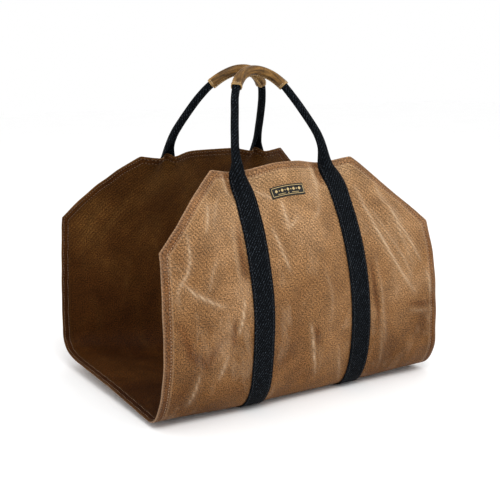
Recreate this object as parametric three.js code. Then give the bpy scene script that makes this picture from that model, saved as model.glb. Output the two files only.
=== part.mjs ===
// Canvas log carrier: one sheet of waxed canvas with cut corners, folded up into an open-ended
// cradle, and two lengths of webbing sewn under and up it. Above the top edges each length is
// rolled up lengthwise and runs over as a carrying handle, wrapped in a leather grip. A small
// leather label sits on the front panel.
// Millimetres, +Z up, X along the cradle, -Y the front. The origin is on the floor, under the middle.
import * as THREE from "three";

// Canvas sheet
const SHEET_WIDTH = 457;
const SHEET_LENGTH = 972;
const SHEET_SHIFT = 4;
const CUT_ALONG = 103;
const CUT_UP = 109;
const CANVAS_THICKNESS = 1.8;
const HEM_WIDTH = 18;
const HEM_THICKNESS = 3;
const HEM_STEP = 1;

// How far the ends of the sheet lift off the floor, the straps draw together at the top edge, and
// folds stand out
const END_LIFT = 12.5;
const STRAP_PULL = 9;
const PULL_FROM = 0.65;
const FOLD_DEPTH = 10;

// Webbing
const WEBBING_WIDTH = 32;
const WEBBING_THICKNESS = 1.8;
const STRAP_SPACING = 166;

// The rolled webbing's depth, the slit left between its edges underneath, the run above the canvas
// over which it rolls up, and the run below the edge over which a pinched strap starts to
const ROLL_DEPTH = 7;
const ROLL_GAP = 0.4;
const ROLL_RUN = 30;
const PINCH_RUN = 38;

// Handles, with the rise from the canvas edges to the crests and the distance between the two crests
const HANDLE_RISE = 123;
const CREST_SPACING = 19;
const CREST_LEAN = 8;

// Leather grips, wrapped round the rolled webbing and sewn along a flange underneath
const GRIP_LENGTH = 104;
const GRIP_LEATHER = 1.5;
const GRIP_FLANGE = 1.2;
const GRIP_GAP = 0.5;

// Label
const LABEL_WIDTH = 58;
const LABEL_HEIGHT = 17;
const LABEL_THICKNESS = 1.6;
const LABEL_BORDER = 1.6;
const LABEL_RELIEF = 0.5;
const LABEL_DROP = 34;
const LABEL_OFFSET = -12;

// Gap between pieces that are sewn together
const SEAT_GAP = 0.3;

// The longest steps of the mesh on the walls and round the bends, its stations along a handle, the
// angle of a fully rolled bend, and the grid that places are rounded to, in parts of a millimetre
const WALL_STEP = 27;
const BEND_STEP = 14;
const ROLL_STATIONS = 5;
const LEG_STATIONS = 6;
const GRIP_STATIONS = 12;
const ROLL_ANGLE = 88;
const GRID = 256;

const FRONT = -1;
const BACK = 1;
const HALF_WIDTH = SHEET_WIDTH / 2;
const HALF_LENGTHS = {
  [FRONT]: SHEET_LENGTH / 2 - SHEET_SHIFT,
  [BACK]: SHEET_LENGTH / 2 + SHEET_SHIFT,
};
const STRAP_X = STRAP_SPACING / 2;
const WEBBING_HALF = WEBBING_WIDTH / 2;
const FLOOR_HEIGHT = WEBBING_THICKNESS + SEAT_GAP;
// Half the back of the rolled webbing. Its side is ROLL_DEPTH, and what is left of it closes the
// roll underneath.
const ROLL_BACK = (WEBBING_HALF - ROLL_DEPTH + ROLL_GAP / 2) / 2;

// How the sheet hangs at five places along the cradle. Each row gives its heading in degrees from
// level, outwards, at the shares of its run up that side that HEADING_AT names. Lift is a share of
// END_LIFT.
const HEADING_AT = {
  floor: 0,
  foot: 0.25,
  heel: 0.32,
  knee: 0.4,
  belly: 0.54,
  waist: 0.7,
  shoulder: 0.85,
  top: 1,
};
const STATIONS = [-HALF_WIDTH, -STRAP_X, 0, STRAP_X, HALF_WIDTH];
const LIFTS = [1, 0, 0, 0, 0.6];
const PROFILES = {
  [FRONT]: [
    { floor: -4, foot: -4, heel: 58, knee: 72, belly: 92, waist: 91, shoulder: 115, top: 132 },
    { floor: 0, foot: 0, heel: 48, knee: 79, belly: 87, waist: 108, shoulder: 127, top: 108 },
    { floor: 0, foot: 0, heel: 54, knee: 79, belly: 90, waist: 108, shoulder: 120, top: 114 },
    { floor: 0, foot: 0, heel: 60, knee: 80, belly: 94, waist: 107, shoulder: 118, top: 122 },
    { floor: -2, foot: -2, heel: 46, knee: 89, belly: 95, waist: 105, shoulder: 123, top: 111 },
  ],
  [BACK]: [
    { floor: 2, foot: 2, heel: 15, knee: 90, belly: 96, waist: 98, shoulder: 112, top: 127 },
    { floor: 0, foot: 0, heel: 38, knee: 85, belly: 94, waist: 103, shoulder: 116, top: 116 },
    { floor: 0, foot: 0, heel: 48, knee: 83, belly: 93, waist: 105, shoulder: 119, top: 119 },
    { floor: 0, foot: 0, heel: 48, knee: 83, belly: 93, waist: 105, shoulder: 117, top: 118 },
    { floor: 0, foot: 0, heel: 40, knee: 86, belly: 95, waist: 104, shoulder: 119, top: 120 },
  ],
};

// Folds and dents in the panels. Along and wide are shares of half the sheet's width, up and reach
// of its run up that side, slant is how far the fold moves along over its reach, and depth is a
// share of FOLD_DEPTH, outwards.
const FOLDS = [
  { side: FRONT, along: 0.02, up: 0.88, wide: 0.24, reach: 0.22, slant: 0, depth: 0.8 },
  { side: FRONT, along: 0.2, up: 1, wide: 0.08, reach: 0.13, slant: 0, depth: -0.7 },
  { side: FRONT, along: -0.7, up: 0.86, wide: 0.14, reach: 0.16, slant: 0.1, depth: 0.7 },
  { side: FRONT, along: 0.72, up: 0.8, wide: 0.12, reach: 0.16, slant: -0.24, depth: 0.5 },
  { side: FRONT, along: 0.52, up: 0.5, wide: 0.08, reach: 0.12, slant: 0, depth: 0.4 },
  { side: FRONT, along: -0.05, up: 0.5, wide: 0.1, reach: 0.1, slant: 0, depth: -0.4 },
  { side: BACK, along: 0, up: 0.9, wide: 0.24, reach: 0.2, slant: 0, depth: 0.6 },
  { side: BACK, along: -0.52, up: 1, wide: 0.08, reach: 0.12, slant: 0, depth: -0.6 },
  { side: BACK, along: 0.52, up: 1, wide: 0.08, reach: 0.12, slant: 0, depth: -0.6 },
];

// The four straps at the canvas edge, the left one first: how far each is drawn towards the middle,
// as a share of STRAP_PULL, and how far it is already folded there, as a share of ROLL_ANGLE.
const STRAP_TOPS = {
  [FRONT]: [
    { pull: 0.9, pinch: 0.65 },
    { pull: 0.4, pinch: 0.66 },
  ],
  [BACK]: [
    { pull: 0.5, pinch: 0.3 },
    { pull: 0.9, pinch: 0.35 },
  ],
};

// The handles' way over from the left strap to the right one. Across is a share of the distance from
// the middle to the strap at the canvas edge, and up a share of the rise.
const ARCHES = {
  [FRONT]: [
    { across: -0.95, up: 0.12 },
    { across: -0.79, up: 0.35 },
    { across: -0.65, up: 0.56 },
    { across: -0.52, up: 0.76 },
    { across: -0.33, up: 0.91 },
    { across: -0.1, up: 0.99 },
    { across: 0.15, up: 1 },
    { across: 0.39, up: 0.95 },
    { across: 0.58, up: 0.85 },
    { across: 0.7, up: 0.7 },
    { across: 0.82, up: 0.5 },
    { across: 0.93, up: 0.28 },
    { across: 0.98, up: 0.1 },
  ],
  [BACK]: [
    { across: -1, up: 0.12 },
    { across: -0.95, up: 0.3 },
    { across: -0.84, up: 0.51 },
    { across: -0.71, up: 0.7 },
    { across: -0.56, up: 0.84 },
    { across: -0.36, up: 0.95 },
    { across: -0.12, up: 1.01 },
    { across: 0.13, up: 1.01 },
    { across: 0.36, up: 0.95 },
    { across: 0.56, up: 0.84 },
    { across: 0.7, up: 0.68 },
    { across: 0.82, up: 0.48 },
    { across: 0.93, up: 0.26 },
    { across: 1, up: 0.1 },
  ],
};

const clamp = THREE.MathUtils.clamp;
const lerp = THREE.MathUtils.lerp;
const radians = THREE.MathUtils.degToRad;
const smooth = (t) => THREE.MathUtils.smootherstep(t, 0, 1);

// The headings and the lift at a place along the cradle, eased between the two stations beside it.
function profileAt(x, side) {
  const rows = PROFILES[side];
  const i = clamp(STATIONS.findLastIndex((station) => x >= station), 0, STATIONS.length - 2);
  const t = smooth((x - STATIONS[i]) / (STATIONS[i + 1] - STATIONS[i]));
  const headings = Object.keys(HEADING_AT).map((name) => {
    return radians(lerp(rows[i][name], rows[i + 1][name], t));
  });
  return { headings, lift: END_LIFT * lerp(LIFTS[i], LIFTS[i + 1], t) };
}

// The heading at a share of the sheet's run up one side.
function headingAt(headings, share) {
  const places = Object.values(HEADING_AT);
  const i = clamp(places.findLastIndex((place) => share >= place), 0, places.length - 2);
  const t = (share - places[i]) / (places[i + 1] - places[i]);
  return lerp(headings[i], headings[i + 1], clamp(t, 0, 1));
}

function foldDepth(x, side, v) {
  let depth = 0;
  for (const fold of FOLDS.filter((row) => row.side === side)) {
    const up = (v / HALF_LENGTHS[side] - fold.up) / fold.reach;
    const along = (x / HALF_WIDTH - fold.along - fold.slant * up) / fold.wide;
    depth += FOLD_DEPTH * fold.depth * Math.exp(-along * along - up * up);
  }
  return depth;
}

// How far a place is drawn towards the middle by the straps: all the way at the straps' top ends,
// less beyond them.
function pullAt(x, side, v) {
  const reach = Math.abs(x) / STRAP_X;
  const beyond = (Math.abs(x) - STRAP_X) / (HALF_WIDTH - STRAP_X);
  const share = reach < 1 ? reach : Math.max(0, 1 - 1.6 * beyond);
  const { pull } = STRAP_TOPS[side][x < 0 ? 0 : 1];
  const raised = smooth(clamp((v / HALF_LENGTHS[side] - PULL_FROM) / (1 - PULL_FROM), 0, 1));
  return -Math.sign(x) * STRAP_PULL * pull * share * raised;
}

// The angle that a strap is folded by at a height up the sheet.
function pinchAngle(x, side, v) {
  const folded = smooth(clamp((v - HALF_LENGTHS[side] + PINCH_RUN) / PINCH_RUN, 0, 1));
  return radians(ROLL_ANGLE * folded * STRAP_TOPS[side][x < 0 ? 0 : 1].pinch);
}

// What a pinched strap does to the canvas under and beside it: shift along the cradle, and depth
// inwards.
function pinchAt(x, side, v) {
  const strap = x < 0 ? -STRAP_X : STRAP_X;
  const angle = pinchAngle(x, side, v);
  const reach = Math.abs(x - strap);
  const flap = clamp(reach, ROLL_BACK, WEBBING_HALF) - ROLL_BACK;
  const fade = Math.exp(-(((Math.max(reach, WEBBING_HALF) - WEBBING_HALF) / WEBBING_HALF) ** 2));
  return {
    shift: -Math.sign(x - strap) * flap * (1 - Math.cos(angle)) * fade,
    depth: flap * Math.sin(angle) * fade,
  };
}

// A place on the canvas's outer face and the outward normal there, x along the cradle and v up the
// sheet on one side from the middle of the floor.
function canvasPlace(x, side, v) {
  const { headings, lift } = profileAt(x, side);
  const steps = Math.max(1, Math.ceil(v / 3));
  const step = v / steps;
  let out = 0;
  let up = FLOOR_HEIGHT + lift;
  for (let i = 0; i < steps; i += 1) {
    const heading = headingAt(headings, ((i + 0.5) * step) / HALF_LENGTHS[side]);
    out += Math.cos(heading) * step;
    up += Math.sin(heading) * step;
  }
  const heading = headingAt(headings, v / HALF_LENGTHS[side]);
  const normal = new THREE.Vector3(0, side * Math.sin(heading), -Math.cos(heading));
  const pinch = pinchAt(x, side, v);
  const point = new THREE.Vector3(x + pullAt(x, side, v) + pinch.shift, side * out, up);
  return { point: point.addScaledVector(normal, foldDepth(x, side, v) - pinch.depth), normal };
}

function offset({ point, normal }, distance) {
  return point.clone().addScaledVector(normal, distance);
}

// The sheet's edge and the line where its hem ends, up the sheet on one side, at a place along the
// cradle.
const CUT_SLOPE = CUT_UP / CUT_ALONG;
const CUT_START = HALF_WIDTH - CUT_ALONG;

function cutTop(x, side) {
  return HALF_LENGTHS[side] - Math.max(0, Math.abs(x) - CUT_START) * CUT_SLOPE;
}

function hemLine(x, side) {
  const beyond = (Math.abs(x) - CUT_START) * CUT_SLOPE;
  return HALF_LENGTHS[side] - Math.max(HEM_WIDTH, beyond + HEM_WIDTH * Math.hypot(1, CUT_SLOPE));
}

// The given places in order, with more between them wherever they are further apart than the step
function fill(places, step) {
  const sorted = [...new Set(places)].sort((a, b) => a - b);
  const lines = [sorted[0]];
  for (let i = 1; i < sorted.length; i += 1) {
    const parts = Math.max(1, Math.round((sorted[i] - sorted[i - 1]) / step));
    for (let k = 1; k <= parts; k += 1) {
      lines.push(lerp(sorted[i - 1], sorted[i], k / parts));
    }
  }
  return lines;
}

// Lines of the mesh along the cradle: hems, cut corners, the straps' edges and fold lines, and the
// label's ends
const FOLD_LINES = [ROLL_BACK, ROLL_BACK + ROLL_DEPTH, WEBBING_HALF];
const STRAP_COLUMNS = [...FOLD_LINES.map((across) => -across).reverse(), ...FOLD_LINES];
const LABEL_LEFT = LABEL_OFFSET - LABEL_WIDTH / 2;
const LABEL_RIGHT = LABEL_OFFSET + LABEL_WIDTH / 2;
const HEM_X = HALF_WIDTH - HEM_WIDTH;
const COLUMNS = fill(
  [
    ...[HALF_WIDTH, HEM_X, HEM_X - HEM_STEP, CUT_START].flatMap((x) => [-x, x]),
    ...STRAP_COLUMNS.flatMap((across) => [across - STRAP_X, across + STRAP_X]),
    LABEL_LEFT,
    LABEL_RIGHT,
  ],
  WALL_STEP / 1.6,
);

// Lines of the mesh up one side of the sheet: evenly up to the keep line, and from there closing up
// towards the cut corners
function meshLines(side) {
  const half = HALF_LENGTHS[side];
  const keep = half - CUT_UP - 3 * HEM_WIDTH;
  const hemFoot = half - HEM_WIDTH - HEM_STEP;
  const low = [
    ...fill([0, HEADING_AT.foot * half], 2 * WALL_STEP),
    ...fill([HEADING_AT.foot * half, HEADING_AT.knee * half], BEND_STEP).slice(1),
    ...fill([HEADING_AT.knee * half, keep], WALL_STEP).slice(1),
  ];
  const labelLines = [half - LABEL_DROP - LABEL_HEIGHT, half - LABEL_DROP];
  const high = fill([keep, ...labelLines, hemFoot], WALL_STEP / 1.3).slice(1);
  return { keep, hemFoot, low, high, count: low.length + high.length + 2 };
}

const LINES = { [FRONT]: meshLines(FRONT), [BACK]: meshLines(BACK) };

function rowHeight(row, x, side) {
  const { keep, hemFoot, low, high, count } = LINES[side];
  if (row === count - 1) return cutTop(x, side);
  if (row === count - 2) return hemLine(x, side);
  if (row < low.length) return low[row];
  const share = (high[row - low.length] - keep) / (hemFoot - keep);
  return keep + share * (hemLine(x, side) - HEM_STEP - keep);
}

// A solid from its points, rounded to the grid, which single precision holds exactly
function solid(points, faces) {
  const places = points.flatMap((point) => point.toArray());
  const rounded = places.map((value) => Math.round(value * GRID) / GRID);
  const geometry = new THREE.BufferGeometry();
  geometry.setAttribute("position", new THREE.Float32BufferAttribute(rounded, 3));
  geometry.setIndex(faces);
  geometry.computeVertexNormals();
  return geometry;
}

// A closed solid between two grids of points. Seen from outside, the outer grid's columns run to the
// right and its rows run up.
function sheetSolid(outer, inner) {
  const rows = outer.length;
  const columns = outer[0].length;
  const at = (layer, r, c) => (layer * rows + r) * columns + c;
  const faces = [];
  const quad = (a, b, c, d) => faces.push(a, b, c, a, c, d);
  for (let r = 0; r < rows - 1; r += 1) {
    for (let c = 0; c < columns - 1; c += 1) {
      quad(at(0, r, c), at(0, r, c + 1), at(0, r + 1, c + 1), at(0, r + 1, c));
      quad(at(1, r, c), at(1, r + 1, c), at(1, r + 1, c + 1), at(1, r, c + 1));
    }
    quad(at(0, r, 0), at(0, r + 1, 0), at(1, r + 1, 0), at(1, r, 0));
    quad(at(1, r, columns - 1), at(1, r + 1, columns - 1), at(0, r + 1, columns - 1), at(0, r, columns - 1));
  }
  for (let c = 0; c < columns - 1; c += 1) {
    quad(at(1, 0, c), at(1, 0, c + 1), at(0, 0, c + 1), at(0, 0, c));
    quad(at(0, rows - 1, c), at(0, rows - 1, c + 1), at(1, rows - 1, c + 1), at(1, rows - 1, c));
  }
  return solid([...outer.flat(), ...inner.flat()], faces);
}

// A tube between two stacks of rings with as many points each, counter-clockwise seen along the way
// they run
function tubeSolid(outer, inner) {
  const rings = outer.length;
  const count = outer[0].length;
  const at = (layer, r, i) => (layer * rings + r) * count + (i % count);
  const faces = [];
  const quad = (a, b, c, d) => faces.push(a, b, c, a, c, d);
  for (let i = 0; i < count; i += 1) {
    for (let r = 0; r < rings - 1; r += 1) {
      quad(at(0, r, i), at(0, r + 1, i), at(0, r + 1, i + 1), at(0, r, i + 1));
      quad(at(1, r, i), at(1, r, i + 1), at(1, r + 1, i + 1), at(1, r + 1, i));
    }
    quad(at(0, 0, i), at(0, 0, i + 1), at(1, 0, i + 1), at(1, 0, i));
    quad(at(1, rings - 1, i), at(1, rings - 1, i + 1), at(0, rings - 1, i + 1), at(0, rings - 1, i));
  }
  return solid([...outer.flat(), ...inner.flat()], faces);
}

// Canvas
function canvasGeometry() {
  const outer = [];
  const inner = [];
  const addRow = (row, side) => {
    const places = COLUMNS.map((x) => canvasPlace(x, side, rowHeight(row, x, side)));
    const hemmed = (x) => row >= LINES[side].count - 2 || Math.abs(x) > HEM_X - HEM_STEP / 2;
    const thick = COLUMNS.map((x) => (hemmed(x) ? HEM_THICKNESS : CANVAS_THICKNESS));
    outer.push(places.map((place) => place.point));
    inner.push(places.map((place, i) => offset(place, -thick[i])));
  };
  for (let row = LINES[BACK].count - 1; row > 0; row -= 1) addRow(row, BACK);
  for (let row = 0; row < LINES[FRONT].count; row += 1) addRow(row, FRONT);
  return sheetSolid(outer, inner);
}

// Webbing

// Half the section of the webbing from its middle to its edge, bent by the first angle where its
// back ends and by the second where its side ends, as places across and behind its back. Off is the
// distance out from the middle layer, and the bends are mitred.
function rolledHalf(first, second, off) {
  const outward = [0, first, first + second].map((angle) => {
    return { across: Math.sin(radians(angle)), back: -Math.cos(radians(angle)) };
  });
  const corner = (at, a, b) => {
    const reach = off / (1 + a.across * b.across + a.back * b.back);
    return { across: at.across + reach * (a.across + b.across), back: at.back + reach * (a.back + b.back) };
  };
  const along = (at, normal, run) => {
    return { across: at.across - normal.back * run, back: at.back + normal.across * run };
  };
  const start = { across: ROLL_BACK, back: 0 };
  const middle = along(start, outward[1], ROLL_DEPTH);
  const end = along(middle, outward[2], WEBBING_HALF - ROLL_BACK - ROLL_DEPTH);
  return [
    corner(start, outward[0], outward[1]),
    corner(middle, outward[1], outward[2]),
    corner(end, outward[2], outward[2]),
  ];
}

// The whole section from its half, left edge first, and one of its places in the frame of a station
function wholeSection(half) {
  return [...half.map(({ across, back }) => ({ across: -across, back })).reverse(), ...half];
}

function placeSection(station, { across, back }) {
  const place = station.point.clone().addScaledVector(station.across, across);
  return place.addScaledVector(station.normal, -back);
}

// A place in one layer of webbing over the canvas, square to the strap's folded flap, and mitred
// where it folds.
function strapPlace(strap, across, side, v, distance) {
  const { point, normal } = canvasPlace(strap + across, side, v);
  const angle = pinchAngle(strap, side, v);
  const outward = new THREE.Vector3(Math.sign(across) * Math.sin(angle), 0, 0);
  outward.addScaledVector(normal, Math.cos(angle));
  if (Math.abs(across) > ROLL_BACK + 1e-6) return offset({ point, normal: outward }, distance);
  outward.add(normal);
  return point.addScaledVector(outward, distance / (1 + Math.cos(angle)));
}

// The rows of one layer of webbing up one strap, on the canvas's own mesh lines
function strapRows(strap, side, distance) {
  const rows = [];
  for (let row = 0; row < LINES[side].count; row += 1) {
    const v = row === 0 ? SEAT_GAP / 2 : rowHeight(row, strap, side);
    rows.push(STRAP_COLUMNS.map((across) => strapPlace(strap, across, side, v, distance)));
  }
  return rows;
}

// The height of the handles' crests over the floor, from the mean height of the four straps at the
// canvas edges
const EDGE_HEIGHTS = [FRONT, BACK].flatMap((side) => {
  return [-STRAP_X, STRAP_X].map((x) => canvasPlace(x, side, HALF_LENGTHS[side]).point.z);
});
const CREST_HEIGHT = HANDLE_RISE + EDGE_HEIGHTS.reduce((sum, height) => sum + height, 0) / 4;

// Stations along a handle: the middle of the webbing's back, the normal on its outer side, the way
// across to the right as seen from outside, and the angles of its two bends
function handleStations(side) {
  const half = HALF_LENGTHS[side];
  const feet = [-STRAP_X, STRAP_X].map((x) => canvasPlace(x, side, half));
  const hems = [-STRAP_X, STRAP_X].map((x) => canvasPlace(x, side, half - HEM_WIDTH));
  const ends = feet.map((foot) => offset(foot, SEAT_GAP + WEBBING_THICKNESS / 2));
  const starts = ends.map((end, i) => {
    return feet[i].point.clone().sub(hems[i].point).setLength(HEM_WIDTH / 3).add(end);
  });
  const crest = (side * CREST_SPACING) / 2;
  const way = ARCHES[side].map(({ across, up }) => {
    const foot = ends[0].clone().lerp(ends[1], (across + 1) / 2);
    const out = lerp(foot.y, crest, Math.min(1, up));
    return new THREE.Vector3(foot.x, out, lerp(foot.z, CREST_HEIGHT, up));
  });
  const points = [ends[0], starts[0], ...way, starts[1], ends[1]];
  const curve = new THREE.CatmullRomCurve3(points, false, "centripetal");
  curve.arcLengthDivisions = 1000;
  const length = curve.getLength();
  const spaced = curve.getSpacedPoints(200);
  const top = spaced.reduce((best, p, i) => (p.z > spaced[best].z ? i : best), 0) / 200;
  const gripEnds = [top - GRIP_LENGTH / 2 / length, top + GRIP_LENGTH / 2 / length];
  const rolled = ROLL_RUN / length;
  const spread = (from, to, count) => fill([from, to], (to - from) / count).slice(1);
  const shares = [
    ...spread(0, rolled, ROLL_STATIONS),
    ...spread(rolled, gripEnds[0], LEG_STATIONS),
    ...spread(gripEnds[0], gripEnds[1], GRIP_STATIONS),
    ...spread(gripEnds[1], 1 - rolled, LEG_STATIONS),
    ...spread(1 - rolled, 1, ROLL_STATIONS).slice(0, -1),
  ];
  const lean = radians(CREST_LEAN);
  const facing = new THREE.Vector3(0, side * Math.sin(lean), Math.cos(lean));
  return shares.map((share) => {
    const strap = share < 0.5 ? 0 : 1;
    const turned = smooth(clamp(Math.min(share, 1 - share) / rolled, 0, 1));
    const tangent = curve.getTangentAt(share);
    const normal = feet[strap].normal.clone().lerp(facing, turned);
    normal.addScaledVector(tangent, -normal.dot(tangent)).normalize();
    return {
      point: curve.getPointAt(share).addScaledVector(normal, (turned * ROLL_DEPTH) / 2),
      normal,
      across: new THREE.Vector3().crossVectors(tangent, normal).multiplyScalar(-side),
      first: ROLL_ANGLE * lerp(STRAP_TOPS[side][strap].pinch, 1, turned),
      second: ROLL_ANGLE * turned,
      gripped: share > gripEnds[0] - 1e-6 && share < gripEnds[1] + 1e-6,
    };
  });
}

// One length of webbing: up the left strap, over the handle and down the right strap
function webbingGeometry(side) {
  const stations = handleStations(side);
  const layer = (distance, off) => {
    const handle = stations.map((station) => {
      const section = wholeSection(rolledHalf(station.first, station.second, off));
      return section.map((place) => placeSection(station, place));
    });
    const down = strapRows(STRAP_X, side, distance).reverse();
    return [...strapRows(-STRAP_X, side, distance), ...handle, ...down.map((row) => row.reverse())];
  };
  const outer = layer(SEAT_GAP + WEBBING_THICKNESS, WEBBING_THICKNESS / 2);
  const inner = layer(SEAT_GAP, -WEBBING_THICKNESS / 2);
  if (side === FRONT) return sheetSolid(outer, inner);
  return sheetSolid(outer.map((row) => row.reverse()), inner.map((row) => row.reverse()));
}

// Leather grips: inside, the section clears the rolled webbing. Outside, it is a leather's thickness
// further out, and its two edges come together in the flange.
function gripGeometry(side) {
  const stations = handleStations(side).filter((station) => station.gripped);
  const webbing = rolledHalf(ROLL_ANGLE, ROLL_ANGLE, WEBBING_THICKNESS / 2);
  const wide = Math.max(...webbing.map((place) => place.across)) + GRIP_GAP;
  const deep = Math.max(...webbing.map((place) => place.back)) + GRIP_GAP;
  const crown = WEBBING_THICKNESS / 2 + GRIP_GAP;
  const inside = [
    { across: 0.5 * wide, back: -crown },
    { across: wide, back: -crown },
    { across: wide, back: 0.5 * deep },
    { across: wide, back: deep },
    { across: 0.6 * wide, back: deep },
    { across: 0.2 * wide, back: deep },
  ];
  const outside = [
    { across: 0.5 * wide, back: -crown - GRIP_LEATHER },
    { across: wide + 0.5 * GRIP_LEATHER, back: -crown - 0.5 * GRIP_LEATHER },
    { across: wide + GRIP_LEATHER, back: 0.5 * deep },
    { across: wide + 0.7 * GRIP_LEATHER, back: deep + 0.7 * GRIP_LEATHER },
    { across: 2 * GRIP_LEATHER, back: deep + GRIP_LEATHER },
    { across: GRIP_LEATHER, back: deep + GRIP_LEATHER + GRIP_FLANGE },
  ];
  const rings = (half) => {
    return stations.map((station) => wholeSection(half).map((at) => placeSection(station, at)));
  };
  const flip = (stack) => (side === BACK ? stack : stack.map((points) => points.reverse()));
  return tubeSolid(flip(rings(outside)), flip(rings(inside)));
}

// Label: a flat patch with a raised border, on the front panel
function labelGeometry() {
  const step = LABEL_BORDER + LABEL_RELIEF;
  const withSteps = (from, to) => {
    return [from, from + LABEL_BORDER, from + step, to - step, to - LABEL_BORDER, to];
  };
  const columns = fill(withSteps(LABEL_LEFT, LABEL_RIGHT), WALL_STEP / 3);
  const high = HALF_LENGTHS[FRONT] - LABEL_DROP;
  const low = high - LABEL_HEIGHT;
  const rows = fill(withSteps(low, high), WALL_STEP / 3);
  const border = LABEL_BORDER + 1e-6;
  const onBorder = (value, from, to) => value < from + border || value > to - border;
  const rise = (x, v) => {
    const raised = onBorder(x, LABEL_LEFT, LABEL_RIGHT) || onBorder(v, low, high);
    return SEAT_GAP + LABEL_THICKNESS - (raised ? 0 : LABEL_RELIEF);
  };
  const place = (x, v) => canvasPlace(x, FRONT, v);
  const outer = rows.map((v) => columns.map((x) => offset(place(x, v), rise(x, v))));
  const inner = rows.map((v) => columns.map((x) => offset(place(x, v), SEAT_GAP)));
  return sheetSolid(outer, inner);
}

const canvasMaterial = new THREE.MeshStandardMaterial({ color: 0x8f6b45, roughness: 0.75, metalness: 0 });
const webbingMaterial = new THREE.MeshStandardMaterial({ color: 0x15181c, roughness: 0.85, metalness: 0 });
const gripMaterial = new THREE.MeshStandardMaterial({ color: 0xa9743d, roughness: 0.5, metalness: 0 });
const labelMaterial = new THREE.MeshStandardMaterial({ color: 0x1c1a18, roughness: 0.6, metalness: 0 });

const carrier = new THREE.Group();

function addPiece(name, geometry, material) {
  const mesh = new THREE.Mesh(geometry, material);
  mesh.name = name;
  carrier.add(mesh);
}

addPiece("canvas_sheet", canvasGeometry(), canvasMaterial.clone());
addPiece("webbing_front", webbingGeometry(FRONT), webbingMaterial.clone());
addPiece("webbing_back", webbingGeometry(BACK), webbingMaterial.clone());
addPiece("grip_front", gripGeometry(FRONT), gripMaterial.clone());
addPiece("grip_back", gripGeometry(BACK), gripMaterial.clone());
addPiece("label_patch", labelGeometry(), labelMaterial.clone());

export default carrier;
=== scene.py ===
"""Canvas log carrier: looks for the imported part. Millimetres inside the maths, metres in the scene."""
import math

import bpy
import numpy as np
from mathutils import Matrix, Vector


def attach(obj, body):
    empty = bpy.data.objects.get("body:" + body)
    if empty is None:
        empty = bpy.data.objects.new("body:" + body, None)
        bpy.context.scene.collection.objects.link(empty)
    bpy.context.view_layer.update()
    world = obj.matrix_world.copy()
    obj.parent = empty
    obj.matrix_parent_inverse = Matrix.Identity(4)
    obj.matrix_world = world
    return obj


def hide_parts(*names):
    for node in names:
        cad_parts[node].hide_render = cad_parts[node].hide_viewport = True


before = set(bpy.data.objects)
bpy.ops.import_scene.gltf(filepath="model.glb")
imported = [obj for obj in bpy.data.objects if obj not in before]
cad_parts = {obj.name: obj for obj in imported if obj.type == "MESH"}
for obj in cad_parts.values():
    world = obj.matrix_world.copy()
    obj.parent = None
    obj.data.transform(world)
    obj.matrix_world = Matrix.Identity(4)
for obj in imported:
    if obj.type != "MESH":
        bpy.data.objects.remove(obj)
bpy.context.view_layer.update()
rng = np.random.default_rng(11)

# Sizes, as in the part
SHEET_WIDTH, SHEET_LENGTH, SHEET_SHIFT = 457.0, 972.0, 4.0
CUT_ALONG, CUT_UP = 103.0, 109.0
CANVAS_THICKNESS, HEM_WIDTH, HEM_THICKNESS = 1.8, 12.5, 3.0
END_LIFT, STRAP_PULL, PULL_FROM, FOLD_DEPTH = 12.5, 9.0, 0.65, 10.0
WEBBING_WIDTH, WEBBING_THICKNESS, STRAP_SPACING = 32.0, 1.8, 166.0
ROLL_DEPTH, ROLL_GAP, ROLL_RUN, PINCH_RUN = 7.0, 0.4, 34.0, 52.0
HANDLE_RISE, CREST_SPACING, CREST_LEAN = 123.0, 19.0, 8.0
GRIP_LENGTH, GRIP_LEATHER = 104.0, 1.5
LABEL_WIDTH, LABEL_HEIGHT, LABEL_DROP, LABEL_OFFSET = 58.0, 17.0, 34.0, -12.0
SEAT_GAP, ROLL_ANGLE = 0.3, 88.0
FRONT, BACK = SIDES = (-1, 1)
NAMES = {FRONT: "front", BACK: "back"}
HALF_WIDTH = SHEET_WIDTH / 2
HALF = {FRONT: SHEET_LENGTH / 2 - SHEET_SHIFT, BACK: SHEET_LENGTH / 2 + SHEET_SHIFT}
STRAP_X = STRAP_SPACING / 2
WEBBING_HALF = WEBBING_WIDTH / 2
FLOOR_HEIGHT = WEBBING_THICKNESS + SEAT_GAP
ROLL_BACK = (WEBBING_HALF - ROLL_DEPTH + ROLL_GAP / 2) / 2 - 0.5
CUT_SLOPE = CUT_UP / CUT_ALONG
CUT_RUN = math.hypot(1, CUT_SLOPE)
CUT_START = HALF_WIDTH - CUT_ALONG

HEADING_AT = np.array([0, 0.25, 0.32, 0.4, 0.54, 0.7, 0.85, 1])
STATIONS = np.array([-HALF_WIDTH, -STRAP_X, 0, STRAP_X, HALF_WIDTH])
LIFTS = np.array([1, 0, 0, 0, 0.6])
PROFILES = {
    FRONT: np.array([
        [-4, -4, 58, 72, 92, 91, 115, 132],
        [0, 0, 48, 79, 87, 108, 127, 108],
        [0, 0, 54, 79, 90, 108, 120, 114],
        [0, 0, 60, 80, 94, 107, 118, 122],
        [-2, -2, 46, 89, 95, 105, 123, 111],
    ], float),
    BACK: np.array([
        [2, 2, 15, 90, 96, 98, 112, 127],
        [0, 0, 38, 85, 94, 103, 116, 116],
        [0, 0, 48, 83, 93, 105, 119, 119],
        [0, 0, 48, 83, 93, 105, 117, 118],
        [0, 0, 40, 86, 95, 104, 119, 120],
    ], float),
}
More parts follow.
